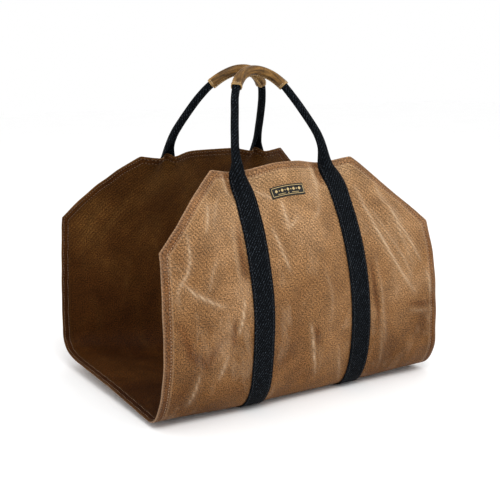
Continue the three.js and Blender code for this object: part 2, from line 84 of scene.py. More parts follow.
# along, up, wide, reach, slant and depth of each fold, as shares
FOLDS = {
    FRONT: [
        (0.02, 0.88, 0.24, 0.22, 0, 0.8), (0.2, 1, 0.08, 0.13, 0, -0.7), (-0.7, 0.86, 0.14, 0.16, 0.1, 0.7),
        (0.72, 0.8, 0.12, 0.16, -0.24, 0.5), (0.52, 0.5, 0.08, 0.12, 0, 0.4), (-0.05, 0.5, 0.1, 0.1, 0, -0.4),
    ],
    BACK: [(0, 0.9, 0.24, 0.2, 0, 0.6), (-0.52, 1, 0.08, 0.12, 0, -0.6), (0.52, 1, 0.08, 0.12, 0, -0.6)],
}
PULLS = {FRONT: (1.3, 0.45), BACK: (0.5, 0.9)}
PINCHES = {FRONT: (0.76, 0.86), BACK: (0.7, 0.74)}
ARCHES = {
    FRONT: [(-1.01, 0.12), (-0.86, 0.35), (-0.7, 0.56), (-0.54, 0.76), (-0.34, 0.91), (-0.1, 0.99), (0.15, 1),
            (0.39, 0.95), (0.58, 0.85), (0.72, 0.7), (0.86, 0.5), (0.98, 0.28), (1.02, 0.1)],
    BACK: [(-1, 0.12), (-0.95, 0.3), (-0.84, 0.51), (-0.71, 0.7), (-0.56, 0.84), (-0.36, 0.95), (-0.12, 1.01),
           (0.13, 1.01), (0.36, 0.95), (0.56, 0.84), (0.7, 0.68), (0.82, 0.48), (0.93, 0.26), (1, 0.1)],
}

# Creases pressed into the canvas: height and width in mm, how pale the wax is along them, and their
# places on the sheet, x along the cradle and v up that side in turn
CREASES = {
    FRONT: [
        (1.5, 5, 0.8, [112, 434, 119, 398, 130, 365, 144, 333, 160, 305, 186, 272]),
        (1.3, 5, 0.6, [152, 416, 165, 374, 186, 340, 201, 315]),
        (1, 4, 0.4, [159, 399, 168, 354, 186, 314]), (1.1, 5, 0.5, [150, 437, 148, 419, 151, 402]),
        (1, 4, 0.4, [129, 395, 150, 352, 170, 322, 184, 290]),
        (-1.5, 4, 0, [109, 318, 111, 282, 114, 254, 119, 214]),
        (1.2, 4, 0.3, [117, 330, 120, 290, 121, 250, 128, 205]), (-1, 4, 0, [172, 255, 198, 251, 224, 250]),
        (0.8, 4, 0.3, [176, 245, 200, 241, 222, 240]),
        (1.2, 4, 0.9, [-28, 428, -27, 407, -26, 388, -18, 392, -8, 400]),
        (1, 3.6, 0.8, [-53, 394, -46, 366, -39, 344, -36, 332]),
        (1.2, 4.5, 0.6, [-63, 450, -51, 441, -38, 430]), (-1.5, 4.5, 0, [5, 247, 8, 234, 9, 222]),
        (0.9, 3.2, 0.8, [-4, 254, -1, 236, 3, 204, 8, 180]),
        (1.3, 4.5, 0.8, [-146, 431, -152, 411, -159, 393]),
        (1, 4.5, 0.3, [-120, 452, -134, 426, -146, 396]),
        (1.4, 4.5, 0.7, [-188, 392, -190, 359, -195, 344, -206, 330, -210, 314]),
        (1.2, 4.5, 0.8, [-200, 332, -184, 318, -170, 311, -158, 305, -142, 299]),
        (1.3, 3.6, 0.9, [-112, 306, -116, 282, -122, 262]),
        (-1.5, 4.5, 0, [-126, 279, -128, 266, -129, 246]), (1, 4.5, 0.6, [-136, 240, -142, 221, -149, 203]),
        (1, 5, 0.5, [-177, 215, -182, 190, -188, 166]), (0.9, 5, 0.4, [-148, 359, -158, 341, -163, 322]),
        (1.4, 6, 0.3, [-112, 420, -117, 371, -117, 338, -113, 300]),
        (-1.3, 6, 0, [-105, 405, -108, 370, -107, 330]),
        (-1.2, 7, 0, [-205, 280, -190, 240, -168, 225, -140, 262]),
        (1, 6, 0.2, [20, 330, 30, 290, 28, 250]), (0.9, 4.5, 0.6, [210, 300, 216, 282, 216, 266]),
        (0.8, 6, 0.3, [44, 214, 50, 180, 60, 150]), (0.8, 4, 0.5, [14, 392, 30, 402, 44, 420]),
        (-2.4, 4.5, 0, [-108, 488, -104, 474, -101, 452]), (1, 4, 0.7, [-112, 484, -109, 466, -108, 446]),
        (-2.6, 5, 0, [59, 488, 63, 470, 62, 446]), (1.1, 4.5, 0.8, [47, 484, 50, 464, 48, 442, 40, 424]),
        (0.9, 6, 0.2, [118, 250, 121, 205, 126, 160]),
    ],
    BACK: [
        (1.4, 5, 0.7, [-120, 440, -134, 400, -158, 356, -176, 322]),
        (1.2, 5, 0.5, [-160, 418, -178, 372, -204, 330]), (1, 4, 0.5, [-34, 430, -22, 396, -28, 350]),
        (1.3, 5, 0.8, [16, 404, 28, 376, 44, 398]), (-1.4, 5, 0, [-6, 280, 0, 250, -4, 226]),
        (1.2, 4.5, 0.7, [134, 438, 146, 402, 166, 366, 188, 340]),
        (1, 4.5, 0.6, [120, 330, 140, 308, 168, 300, 196, 280]),
        (-1.2, 5, 0, [112, 300, 114, 262, 122, 226]), (1.1, 5, 0.5, [-112, 318, -118, 280, -126, 236]),
        (1, 6, 0.3, [-40, 216, -32, 190, -20, 170]), (0.9, 5, 0.5, [60, 230, 48, 262, 40, 300]),
    ],
}

# Broad patches, paler or darker: x, v, radius, and how much paler or darker; the largest darken the lower
# outer parts of each side
TONES = {
    FRONT: [
        (178, 160, 80, -1.15), (-172, 165, 66, -1.15), (150, 352, 46, 0.5), (172, 306, 36, 0.5),
        (-30, 250, 55, -0.35), (40, 165, 40, 0.3), (-190, 300, 40, -0.25), (20, 330, 60, -0.15),
        (118, 290, 14, -0.5), (196, 226, 34, -0.35), (-140, 390, 40, -0.3), (-110, 250, 18, -0.5),
    ],
    BACK: [
        (-150, 160, 70, -0.8), (150, 180, 62, -0.8), (-150, 330, 52, 0.5), (30, 260, 55, -0.4),
        (120, 380, 45, 0.3), (-20, 420, 50, 0.2),
    ],
}

# How the canvas is shaped between those tables, in mm where it is a length
PULL_FADE, ROLL_EASE = 1.6, 1.6
ROLL_SOFTNESS, CORNER_SOFTNESS, BEND_STEPS = 3.2, 3.0, 24
WAVE_COUNT, WAVE_LENGTHS, WAVE_HEIGHT = 14, [26, 38, 60], 0.34
CREASE_SCALE, MARCH_STEPS, NORMAL_STEP = 1.35, 120, 0.8
EDGE_ROW, FOLD_ROW, STITCH_PITCH, GROOVE_WIDTH = 3.0, 9.5, 4.2, 1.1


def smoother(t):
    t = np.clip(t, 0, 1)
    return t * t * t * (t * (6 * t - 15) + 10)


def bell(gap, width, power=2):
    """1 where there is no gap, falling softly to 0 past a width."""
    return np.exp(-((gap / width) ** power))


def unit(a):
    return a / np.maximum(np.linalg.norm(a, axis=-1, keepdims=True), 1e-9)


def lengths_along(line):
    return np.concatenate([[0], np.cumsum(np.linalg.norm(np.diff(line, axis=0), axis=1))])


def sampled(line, lengths, s):
    return np.stack([np.interp(s, lengths, column) for column in np.asarray(line).T], 1)


# The canvas as a surface
def between(places, x):
    """The number of the place before x, and how far x is on the way to the next one, 0 to 1."""
    i = np.clip(np.searchsorted(places, x, side="right") - 1, 0, len(places) - 2)
    return i, np.clip((x - places[i]) / (places[i + 1] - places[i]), 0, 1)


def profile(x, side):
    i, t = between(STATIONS, x)
    t, rows = smoother(t)[:, None], PROFILES[side]
    lift = LIFTS[i] + (LIFTS[i + 1] - LIFTS[i]) * t[:, 0]
    return np.radians(rows[i] * (1 - t) + rows[i + 1] * t), END_LIFT * lift


def heading(headings, share):
    i, t = between(HEADING_AT, share)
    rows = np.arange(len(share))
    return headings[rows, i] * (1 - t) + headings[rows, i + 1] * t


def fold_depth(x, side, v):
    depth = np.zeros_like(x)
    for along, up, wide, reach, slant, deep in FOLDS[side]:
        rise = (v / HALF[side] - up) / reach
        across = (x / HALF_WIDTH - along - slant * rise) / wide
        depth += FOLD_DEPTH * deep * np.exp(-across * across - rise * rise)
    return depth


def pull(x, side, v):
    reach = np.abs(x) / STRAP_X
    beyond = (np.abs(x) - STRAP_X) / (HALF_WIDTH - STRAP_X)
    share = np.where(reach < 1, reach, np.maximum(0, 1 - PULL_FADE * beyond))
    amount = np.where(x < 0, PULLS[side][0], PULLS[side][1])
    raised = smoother((v / HALF[side] - PULL_FROM) / (1 - PULL_FROM))
    return -np.sign(x) * STRAP_PULL * amount * share * raised


def fold_angle(x, side, v):
    """How far the webbing is folded back at its sides where it nears the hem."""
    folded = np.clip((v - HALF[side] + PINCH_RUN) / PINCH_RUN, 0, 1) ** ROLL_EASE
    return np.radians(ROLL_ANGLE * folded * np.where(x < 0, PINCHES[side][0], PINCHES[side][1]))


def bent(across, first, second=0.0):
    """Where a strip folded softly at two lines comes to: across, depth behind its middle, and its tilt."""
    across = np.asarray(across, float)
    reach = np.abs(across)

    def tilt(s):
        back = smoother((s - ROLL_BACK + ROLL_SOFTNESS) / (2 * ROLL_SOFTNESS))
        under = smoother((s - ROLL_BACK - ROLL_DEPTH + CORNER_SOFTNESS) / (2 * CORNER_SOFTNESS))
        return first * back + second * under

    out, deep = np.zeros(np.broadcast(reach, first, second).shape), 0.0
    for k in range(BEND_STEPS):
        t = tilt(reach * (k + 0.5) / BEND_STEPS)
        out = out + np.cos(t) * reach / BEND_STEPS
        deep = deep + np.sin(t) * reach / BEND_STEPS
    return np.sign(across) * out, deep, tilt(reach)


def pinch(x, side, v):
    """The canvas's shift and depth where it is folded back with the webbing."""
    strap = np.where(x < 0, -STRAP_X, STRAP_X)
    reach = np.abs(x - strap)
    held = np.minimum(reach, WEBBING_HALF)
    out, deep, _ = bent(held, fold_angle(x, side, v))
    fade = bell(np.maximum(reach, WEBBING_HALF) - WEBBING_HALF, WEBBING_HALF)
    return np.sign(x - strap) * (out - held) * fade, deep * fade


# height, direction and phase of each soft wave in the canvas
WAVES = {
    side: [(rng.uniform(0.35, 1.0), *(rng.normal(size=2) / rng.choice(WAVE_LENGTHS)), rng.uniform(0, 6.28))
           for _ in range(WAVE_COUNT)]
    for side in SIDES
}


def edge_distance(x, side, v):
    """How far a place on the sheet is from its nearest cut edge."""
    cut = (HALF[side] - (np.abs(x) - CUT_START) * CUT_SLOPE - v) / CUT_RUN
    return np.minimum(np.minimum(HALF_WIDTH - np.abs(x), HALF[side] - v), cut)


def crease(x, side, v):
    """The creases' depth and how pale their wax is."""
    depth, wax = np.zeros_like(x), np.zeros_like(x)
    ragged = 0.65 + 0.35 * np.sin(x * 0.9 + v * 0.7) * np.sin(v * 0.31 + x * 0.2)
    for high, wide, pale, line in CREASES[side]:
        points = np.reshape(line, (-1, 2)).astype(float)
        marks = lengths_along(points)
        best, along = np.full_like(x, 1e9), np.zeros_like(x)
        for start, end, done in zip(points[:-1], points[1:], marks):
            step = end - start
            length = np.hypot(*step)
            t = np.clip(((x - start[0]) * step[0] + (v - start[1]) * step[1]) / length**2, 0, 1)
            gap = np.hypot(x - start[0] - t * step[0], v - start[1] - t * step[1])
            along = np.where(gap < best, (done + t * length) / marks[-1], along)
            best = np.minimum(gap, best)
        taper = np.sin(np.pi * np.clip(0.08 + 0.84 * along, 0, 1)) ** 0.7
        depth += CREASE_SCALE * high * taper * bell(best, wide)
        core, halo = bell(best, 0.36 * wide), bell(best, 1.4 * wide)
        wax += pale * ragged * taper * (1.1 * core + 0.42 * halo)
    return depth, wax


def toned(x, side, v):
    total = sum(t * np.exp(-((x - a) ** 2 + (v - b) ** 2) / r**2) for a, b, r, t in TONES[side])
    return np.clip(total * (0.85 + 0.3 * np.sin(x / 17 + v / 29)), -1, 1)


def relief(x, side, v):
    """The canvas's unevenness: soft waves and creases, a rippled hem, and the grooves of its two seams."""
    edge = np.maximum(edge_distance(x, side, v), 0)
    raised = smoother((v / HALF[side] - 0.27) / 0.12)
    off_strap = 1 - 0.75 * bell(np.abs(x) - STRAP_X, 17, 4)
    waves = sum(a * np.sin(kx * x + kv * v + p) for a, kx, kv, p in WAVES[side]) * WAVE_HEIGHT
    along = x + 1.7 * v
    ripple = 0.4 * bell(edge, 16) * np.sin(along / 12.5 + 1.3)
    pucker = 0.22 * bell(edge - 6, 5) * np.sin(along * 0.72)
    seams = -0.35 * (bell(edge - EDGE_ROW, GROOVE_WIDTH) + bell(edge - FOLD_ROW, GROOVE_WIDTH))
    inside = smoother((edge - 2) / 12)
    cloth = waves * (0.35 + 0.65 * inside) + crease(x, side, v)[0] * inside + ripple
    return raised * off_strap * cloth + (pucker + seams) * off_strap


def place(x, side, v, rough=True):
    """Places on the canvas's outer face and the sheet's own normals there."""
    x, v = np.broadcast_arrays(np.asarray(x, float), np.asarray(v, float))
    shape = x.shape
    x, v = x.ravel().copy(), v.ravel().copy()
    headings, lift = profile(x, side)
    out, up = np.zeros_like(x), FLOOR_HEIGHT + lift
    for k in range(MARCH_STEPS):
        h = heading(headings, v * ((k + 0.5) / MARCH_STEPS) / HALF[side])
        out += np.cos(h) * v / MARCH_STEPS
        up += np.sin(h) * v / MARCH_STEPS
    h = heading(headings, v / HALF[side])
    normal = np.stack([np.zeros_like(x), side * np.sin(h), -np.cos(h)], 1)
    shift, deep = pinch(x, side, v)
    point = np.stack([x + pull(x, side, v) + shift, side * out, up], 1)
    depth = fold_depth(x, side, v) - deep + (relief(x, side, v) if rough else 0)
    return (point + normal * depth[:, None]).reshape(*shape, 3), normal.reshape(*shape, 3)


def place_with_normal(x, side, v):
    """Places on the outer face with the true outward normals."""
    x, v, step = np.asarray(x), np.asarray(v), NORMAL_STEP
    at, guess = place(x, side, v)
    along = unit(place(x + step, side, v)[0] - place(x - step, side, v)[0])
    upward = unit(place(x, side, v + step)[0] - place(x, side, v - step)[0])
    normal = unit(np.cross(along, upward))
    return at, normal * np.sign((normal * guess).sum(-1, keepdims=True))


# Mesh helpers
def linked(name, data):
    thing = bpy.data.objects.new(name, data)
    bpy.context.scene.collection.objects.link(thing)
    return thing


def make(name, points, faces, materials, uv=None, attributes=None, index=None):
    """A piece that rides on the root, from points in mm, with its map in metres and its vertex attributes."""
    mesh = bpy.data.meshes.new(name)
    mesh.from_pydata((np.reshape(points, (-1, 3)) / 1000).tolist(), [], faces)
    mesh.validate(verbose=False)
    for m in materials:
        mesh.materials.append(m)
    if uv is not None:
        corners = np.zeros(len(mesh.loops), np.int32)
        mesh.loops.foreach_get("vertex_index", corners)
        layer = mesh.uv_layers.new(name="UVMap")
        places = np.reshape(uv, (-1, 2))[corners] / 1000
        layer.data.foreach_set("uv", places.astype(np.float32).ravel())
    for key, values in (attributes or {}).items():
        layer = mesh.attributes.new(key, "FLOAT", "POINT")
        layer.data.foreach_set("value", np.asarray(values, np.float32).ravel())
    if index is not None:
        mesh.polygons.foreach_set("material_index", np.asarray(index, np.int32))
    mesh.polygons.foreach_set("use_smooth", np.full(len(mesh.polygons), True))
    mesh.update()
    piece = linked(name, mesh)
    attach(piece, "root")
    return piece


def grid_faces(rows, columns, first=0, flip=False, wrap=False):
    r, c = np.meshgrid(np.arange(rows - 1), np.arange(columns if wrap else columns - 1), indexing="ij")
    a = first + r * columns + c
    b = first + r * columns + (c + 1) % columns
    quads = np.stack([a, b, b + columns, a + columns], -1).reshape(-1, 4)
    return (quads[:, ::-1] if flip else quads).tolist()


# place along a stitch, share of its width, and lift in mm, of each ring of a stitch
STITCH_RINGS = [(-0.5, 0.35, -0.25), (-0.3, 0.9, 0.12), (0, 1, 0.22), (0.3, 0.9, 0.12), (0.5, 0.35, -0.25)]
STITCH_SIDES, STITCH_FLATNESS = 6, 0.4


def stitches(name, ats, alongs, normals, length, width, material):
    """A joined mesh of stitches, each a low rounded bead that dips into the cloth at its ends."""
    at, along, normal = np.concatenate(ats), unit(np.concatenate(alongs)), unit(np.concatenate(normals))
    along = unit(along - normal * (along * normal).sum(-1, keepdims=True))
    side = np.cross(normal, along)
    section = [(math.cos(t), math.sin(t)) for t in np.arange(STITCH_SIDES) * math.tau / STITCH_SIDES]
    points = np.concatenate([
        at[:, None] + along[:, None] * (s * length) + side[:, None] * (c * w * width / 2)
        + normal[:, None] * (q * w * width * STITCH_FLATNESS + lift)
        for s, w, lift in STITCH_RINGS for c, q in section
    ], 1)
    count = len(STITCH_RINGS) * STITCH_SIDES
    one = grid_faces(len(STITCH_RINGS), STITCH_SIDES, wrap=True)
    one += [list(range(STITCH_SIDES))[::-1], list(range(count - STITCH_SIDES, count))]
    faces = [[i + count * k for i in f] for k in range(len(at)) for f in one]
    make(name, points, faces, [material])


# Materials
def nodes_of(name):
    material = bpy.data.materials.new(name)
    material.use_nodes = True
    tree = material.node_tree
    return material, tree, tree.nodes["Principled BSDF"]


def add(kind, inputs, tree=None, **settings):
    """A node, in the tree of the sockets that it takes in unless a tree is given."""
    sockets = [value for value in inputs.values() if isinstance(value, bpy.types.NodeSocket)]
    node = (tree or sockets[0].id_data).nodes.new(kind)
    for key, value in settings.items():
        setattr(node, key, value)
    for key, value in inputs.items():
        if isinstance(value, bpy.types.NodeSocket):
            node.id_data.links.new(value, node.inputs[key])
        else:
            node.inputs[key].default_value = value
    return node


def maths(operation, a, b=0.0, clamp=False):
    return add("ShaderNodeMath", {0: a, 1: b}, operation=operation, use_clamp=clamp).outputs[0]


def times(a, b, clamp=False):
    return maths("MULTIPLY", a, b, clamp)


def plus(a, b):
    return maths("ADD", a, b)


def blend(kind, factor, a, b):
    inputs = {0: factor, 6: a, 7: b}
    return add("ShaderNodeMix", inputs, data_type="RGBA", blend_type=kind).outputs[2]


def ramp(factor, stops):
    node = add("ShaderNodeValToRGB", {0: factor})
    while len(node.color_ramp.elements) < len(stops):
        node.color_ramp.elements.new(0.5)
    for element, (at, colour) in zip(node.color_ramp.elements, stops):
        element.position = at
        element.color = (*colour, 1)
    return node.outputs[0]


def grey_ramp(factor, low, high):
    """A ramp between two greys, each given as its place and its brightness."""
    return ramp(factor, [(at, (grey,) * 3) for at, grey in (low, high)])


def noise(vector, scale, detail=4.0, roughness=0.6, distortion=0.0):
    return add("ShaderNodeTexNoise", {
        "Vector": vector, "Scale": scale, "Detail": detail, "Roughness": roughness, "Distortion": distortion,
    }).outputs[0]


def attribute(tree, name):
    return add("ShaderNodeAttribute", {}, tree, attribute_name=name).outputs["Fac"]


def cloth_map(tree):
    return add("ShaderNodeUVMap", {}, tree, uv_map="UVMap").outputs[0]


def drawn_out(vector, share):
    """The map squeezed along the cloth, so that a texture on it is drawn out that way."""
    return add("ShaderNodeMapping", {"Vector": vector, "Scale": (1.0, share, 1.0)}).outputs[0]


def ribs(vector, angle, pitch, distortion=0.0):
    turned = add("ShaderNodeMapping", {"Vector": vector, "Rotation": (0, 0, angle)})
    return add("ShaderNodeTexWave", {
        "Vector": turned.outputs[0], "Scale": math.pi / (10 * pitch), "Distortion": distortion, "Detail": 1.0,
        "Detail Scale": 0.16,
    }, wave_type="BANDS", bands_direction="X").outputs[1]


def bumped(height, strength, distance, under=None):
    inputs = {"Strength": strength, "Distance": distance, "Height": height}
    if under is not None:
        inputs["Normal"] = under
    return add("ShaderNodeBump", inputs).outputs[0]


def finish(shader, colour, roughness, normal, specular):
    for key, value in (("Base Color", colour), ("Roughness", roughness), ("Normal", normal)):
        shader.id_data.links.new(value, shader.inputs[key])
    shader.inputs["Specular IOR Level"].default_value = specular


def canvas_material(name, light, mid, deep, wax, weight):
    """Waxed canvas: plain weave, cloudy wax, pale creases, worn rims, painted shade in its hollows, and
    painted light and shade up its height. Weight is how much wax shows.
    """
    material, tree, shader = nodes_of(name)
    cloth = cloth_map(tree)
    clouds = noise(cloth, 9.0, 5.0, 0.62, 0.6)
    patches = noise(cloth, 34.0, 4.0, 0.65, 0.4)
    specks = noise(cloth, 560.0, 2.0, 0.85)
    base = ramp(clouds, [(0.3, deep), (0.5, mid), (0.7, light)])
    base = blend("OVERLAY", 0.6, base, grey_ramp(patches, (0.3, 0.34), (0.7, 0.66)))
    # painted light and shade: deeper and warmer near the floor, where the canvas turns down away from the
    # light, and paler and cooler towards the hem, where it faces up into the light
    height = add("ShaderNodeSeparateXYZ", {0: cloth}).outputs[1]
    high = times(maths("ABSOLUTE", height), 2.05)
    base = blend("MULTIPLY", 1.0, base, ramp(high, [
        (0.28, (0.75, 0.66, 0.51)), (0.46, (0.93, 0.90, 0.86)), (0.68, (1.1, 1.13, 1.18)),
        (0.86, (1.42, 1.6, 1.92)), (1.0, (1.5, 1.75, 2.15))]))
    base = blend("OVERLAY", 1.0, base, grey_ramp(specks, (0.37, 0.1), (0.63, 0.9)))
    base = blend("MULTIPLY", 1.0, base, ramp(attribute(tree, "tone"), [
        (0.0, (0.64, 0.57, 0.43)), (0.5, (1.0, 1.0, 1.0)), (1.0, (1.34, 1.48, 1.70))]))
    # painted shade: the canvas is darkened in its crease hollows and in the grooves of its two seams
    painted_hollow_shade = times(attribute(tree, "painted_hollow_shade"), 0.85, clamp=True)
    base = blend("MULTIPLY", painted_hollow_shade, base, (0.55, 0.42, 0.3, 1))
    # pale wax along creases, broken up by the grain, and in soft scuffs between them
    scuffs = noise(drawn_out(cloth, 0.42), 24.0, 6.0, 0.7, 0.5)
    scuffs = times(grey_ramp(scuffs, (0.54, 0), (0.74, 1)), 0.26 * weight)
    marks = maths("MAXIMUM", times(attribute(tree, "wax"), 0.74 * weight), scuffs)
    marks = times(marks, plus(times(specks, 0.9), 0.5), clamp=True)
    base = blend("MIX", marks, base, wax)
    base = blend("MIX", times(attribute(tree, "rim"), 0.42), base, wax)
    base = blend("MULTIPLY", attribute(tree, "hem"), base, (0.80, 0.73, 0.70, 1))
    # the weave: fine and coarse yarns crossing, and slanting ribs that show more near the hem
    weave = times(ribs(cloth, 0.0, 0.0011), ribs(cloth, math.pi / 2, 0.0011))
    warp, weft = (ribs(cloth, angle, 0.0031, 2.0) for angle in (0.03, math.pi / 2 - 0.02))
    yarns = ramp(times(warp, weft), [(0.0, (0.80, 0.77, 0.74)), (0.7, (1.22,) * 3)])
    base = blend("MULTIPLY", 0.4, base, yarns)
    diagonal = ribs(cloth, 0.72, 0.0046, 9.0)
    shown = grey_ramp(high, (0.4, 0.12), (0.78, 0.75))
    slants = ramp(diagonal, [(0.1, (0.72, 0.7, 0.68)), (0.9, (1.18,) * 3)])
    base = blend("MULTIPLY", shown, base, slants)
    grain = plus(times(weave, 0.35), times(diagonal, 0.3))
    grain = plus(grain, times(specks, 0.9))
    fine = bumped(grain, 0.55, 0.0005)
    wrinkled = bumped(noise(cloth, 46.0, 6.0, 0.7, 1.1), 0.6, 0.0022, fine)
    finish(shader, base, grey_ramp(patches, (0.25, 0.52), (0.75, 0.8)), wrinkled, 0.12 * weight)
    shader.inputs["Sheen Weight"].default_value = 0.02 * weight
    shader.inputs["Sheen Roughness"].default_value = 0.5
    shader.inputs["Sheen Tint"].default_value = (0.9, 0.75, 0.6, 1)
    return material


def webbing_material():
    """Coarse cotton twill webbing, near black with a blue cast, and painted glints on the crests of its ribs.
    """
    material, tree, shader = nodes_of("twill_webbing")
    cloth = cloth_map(tree)
    twill = ribs(cloth, 0.62, 0.0034, 0.5)
    yarns = ribs(cloth, math.pi / 2, 0.0011, 0.5)
    fibres = noise(cloth, 560.0, 2.0, 0.85)
    dust = grey_ramp(noise(cloth, 60.0, 5.0, 0.7), (0.5, 0), (0.9, 0.12))
    base = ramp(twill, [(0.1, (0.0005, 0.0008, 0.0012)), (0.85, (0.0016, 0.0026, 0.0040))])
    # painted highlights: pale glints on the fibres along the crests of the twill ribs
    painted_glints = times(grey_ramp(fibres, (0.54, 0), (0.66, 1)), maths("POWER", twill, 1.5))
    base = blend("MIX", times(painted_glints, 0.55), base, (0.125, 0.155, 0.190, 1))
    base = blend("MIX", dust, base, (0.03, 0.034, 0.038, 1))
    height = plus(plus(twill, times(yarns, 0.4)), times(fibres, 0.6))
    roughness = grey_ramp(fibres, (0.2, 0.62), (0.8, 0.85))
    finish(shader, base, roughness, bumped(height, 0.8, 0.0007), 0.04)
    return material


def leather_material(name, light, mid, dark, worn):
    """Oiled leather: clouded and streaked along the hide, pored, creased, and worn pale at its rims."""
    material, tree, shader = nodes_of(name)
    hide = cloth_map(tree)
    clouds = noise(hide, 38.0, 6.0, 0.68, 0.8)
    pores = add("ShaderNodeTexVoronoi", {"Vector": hide, "Scale": 620.0, "Randomness": 1.0}).outputs[0]
    fine = noise(hide, 420.0, 4.0, 0.7)
    streaks = noise(drawn_out(hide, 0.11), 260.0, 3.0, 0.65, 0.4)
    base = ramp(clouds, [(0.28, dark), (0.5, mid), (0.74, light)])
    base = blend("OVERLAY", 0.9, base, grey_ramp(streaks, (0.36, 0.16), (0.64, 0.8)))
    base = blend("OVERLAY", 0.5, base, grey_ramp(fine, (0.3, 0.34), (0.7, 0.66)))
    base = blend("MIX", times(attribute(tree, "rim"), 0.75, clamp=True), base, worn)
    pored = bumped(plus(times(pores, 0.6), times(fine, 0.6)), 0.5, 0.0004)
    creased = bumped(noise(hide, 120.0, 5.0, 0.75, 1.4), 0.5, 0.0009, pored)
    finish(shader, base, grey_ramp(clouds, (0.25, 0.38), (0.75, 0.6)), creased, 0.16)
    return material


def thread_material(name, colour, dark):
    material, tree, shader = nodes_of(name)
    twist = noise(add("ShaderNodeTexCoord", {}, tree).outputs["Object"], 900.0, 2.0, 0.6)
    roughness = grey_ramp(twist, (0.2, 0.5), (0.8, 0.75))
    colours = ramp(twist, [(0.3, dark), (0.7, colour)])
    finish(shader, colours, roughness, bumped(twist, 0.4, 0.0002), 0.5)
    return material


OUTSIDE = canvas_material(
    "waxed_canvas_outside", (0.265, 0.142, 0.062), (0.2, 0.098, 0.036), (0.14, 0.062, 0.02),
    wax=(0.58, 0.42, 0.27, 1), weight=1.0)
# The inner face is a darker chocolate brown, and part of that darkness is painted shade, standing in for the
# shade inside the bag
INSIDE = canvas_material(
    "waxed_canvas_inside", (0.085, 0.033, 0.0065), (0.058, 0.02, 0.0035), (0.036, 0.011, 0.0018),
    wax=(0.17, 0.084, 0.022, 1), weight=0.45)
WEBBING = webbing_material()
GRIP = leather_material(
    "grip_leather", (0.28, 0.158, 0.052), (0.145, 0.073, 0.019), (0.052, 0.024, 0.006),
    worn=(0.45, 0.285, 0.115, 1))
LABEL = leather_material(
    "label_leather", (0.02, 0.019, 0.017), (0.01, 0.0095, 0.0085), (0.005, 0.0045, 0.004),
    worn=(0.04, 0.036, 0.028, 1))
INLAY = thread_material("label_inlay", (0.62, 0.47, 0.22), (0.42, 0.29, 0.11))
TAN_THREAD = thread_material("tan_thread", (0.50, 0.34, 0.21), (0.22, 0.125, 0.065))
BROWN_THREAD = thread_material("brown_thread", (0.30, 0.18, 0.10), (0.11, 0.06, 0.03))
DARK_THREAD = thread_material("dark_thread", (0.012, 0.015, 0.019), (0.003, 0.004, 0.005))
PALE_THREAD = thread_material("pale_thread", (0.72, 0.55, 0.33), (0.42, 0.27, 0.13))

# Canvas sheet
HEM_ROWS = np.array([0, 0.35, 0.9, 1.8, 3.0, 4.4, 6.2, 8.0, 9.5, 11.0, 12.2, 13.0, 14.6])
MESH_STEP, LEVEL_MARGIN, HEM_RAMP = 2.75, 54, 0.9


def spaced(a, b, step):
    """Places from a to b, an odd number of them, about a step apart."""
    return np.linspace(a, b, 2 * max(1, round((b - a) / step / 2)) + 1)


INNER = HALF_WIDTH - HEM_ROWS[-1]
COLUMNS = np.concatenate([
    HEM_ROWS[:-1] - HALF_WIDTH, spaced(-INNER, INNER, MESH_STEP), HALF_WIDTH - HEM_ROWS[:-1][::-1],
])


def sheet_rows(side):
    """Heights up the sheet of the mesh's rows, from the floor's middle to the cut edge, at every column."""
    half = HALF[side]
    keep = half - CUT_UP - LEVEL_MARGIN

    def inset(gap):
        cut = half - (np.abs(COLUMNS) - CUT_START) * CUT_SLOPE - gap * CUT_RUN
        return np.minimum(half - gap, cut)

    shares = spaced(0, 1, MESH_STEP / (CUT_UP + LEVEL_MARGIN - HEM_ROWS[-1]))[1:-1]
    rows = [np.full_like(COLUMNS, v) for v in spaced(0, keep, MESH_STEP)]
    rows += [keep + share * (inset(HEM_ROWS[-1]) - keep) for share in shares]
    rows += [inset(gap) for gap in HEM_ROWS[::-1]]
    return np.array(rows)


def sheet_layers():
    front, back = sheet_rows(FRONT), sheet_rows(BACK)
    signed = np.concatenate([back[:0:-1], -front])
    sides = np.concatenate([np.full(len(back) - 1, BACK), np.full(len(front), FRONT)])
    x = np.broadcast_to(COLUMNS, signed.shape)
    face, guess = np.zeros((*signed.shape, 3)), np.zeros((*signed.shape, 3))
    edge, wax, deep, tone = (np.zeros(signed.shape) for _ in range(4))
    for side in SIDES:
        rows = sides == side
        v = np.abs(signed[rows])
        face[rows], guess[rows] = place(x[rows], side, v)
        edge[rows] = np.maximum(edge_distance(x[rows], side, v), 0)
        tone[rows] = toned(x[rows], side, v)
        depth, wax[rows] = crease(x[rows], side, v)
        deep[rows] = np.maximum(-depth, 0)
    normal = unit(np.cross(unit(np.gradient(face, axis=0)), unit(np.gradient(face, axis=1))))
    normal = normal * np.sign((normal * guess).sum(-1, keepdims=True))
    return x, signed, face, normal, edge, wax, deep, tone


def rim_faces(outer, inner):
    """Triangles from the border of the outer grid to that of the inner one, which has every other point."""
    borders = ((outer[0], inner[0], True), (outer[-1], inner[-1], False),
               (outer[:, 0], inner[:, 0], False), (outer[:, -1], inner[:, -1], True))
    faces = []
    for far, near, kept in borders:
        far, near = far.tolist(), near.tolist()
        for start, middle, end, low, next_low in zip(far[:-2:2], far[1::2], far[2::2], near, near[1:]):
            three = [[start, middle, low], [middle, next_low, low], [middle, end, next_low]]
            faces += three if kept else [t[::-1] for t in three]
    return faces


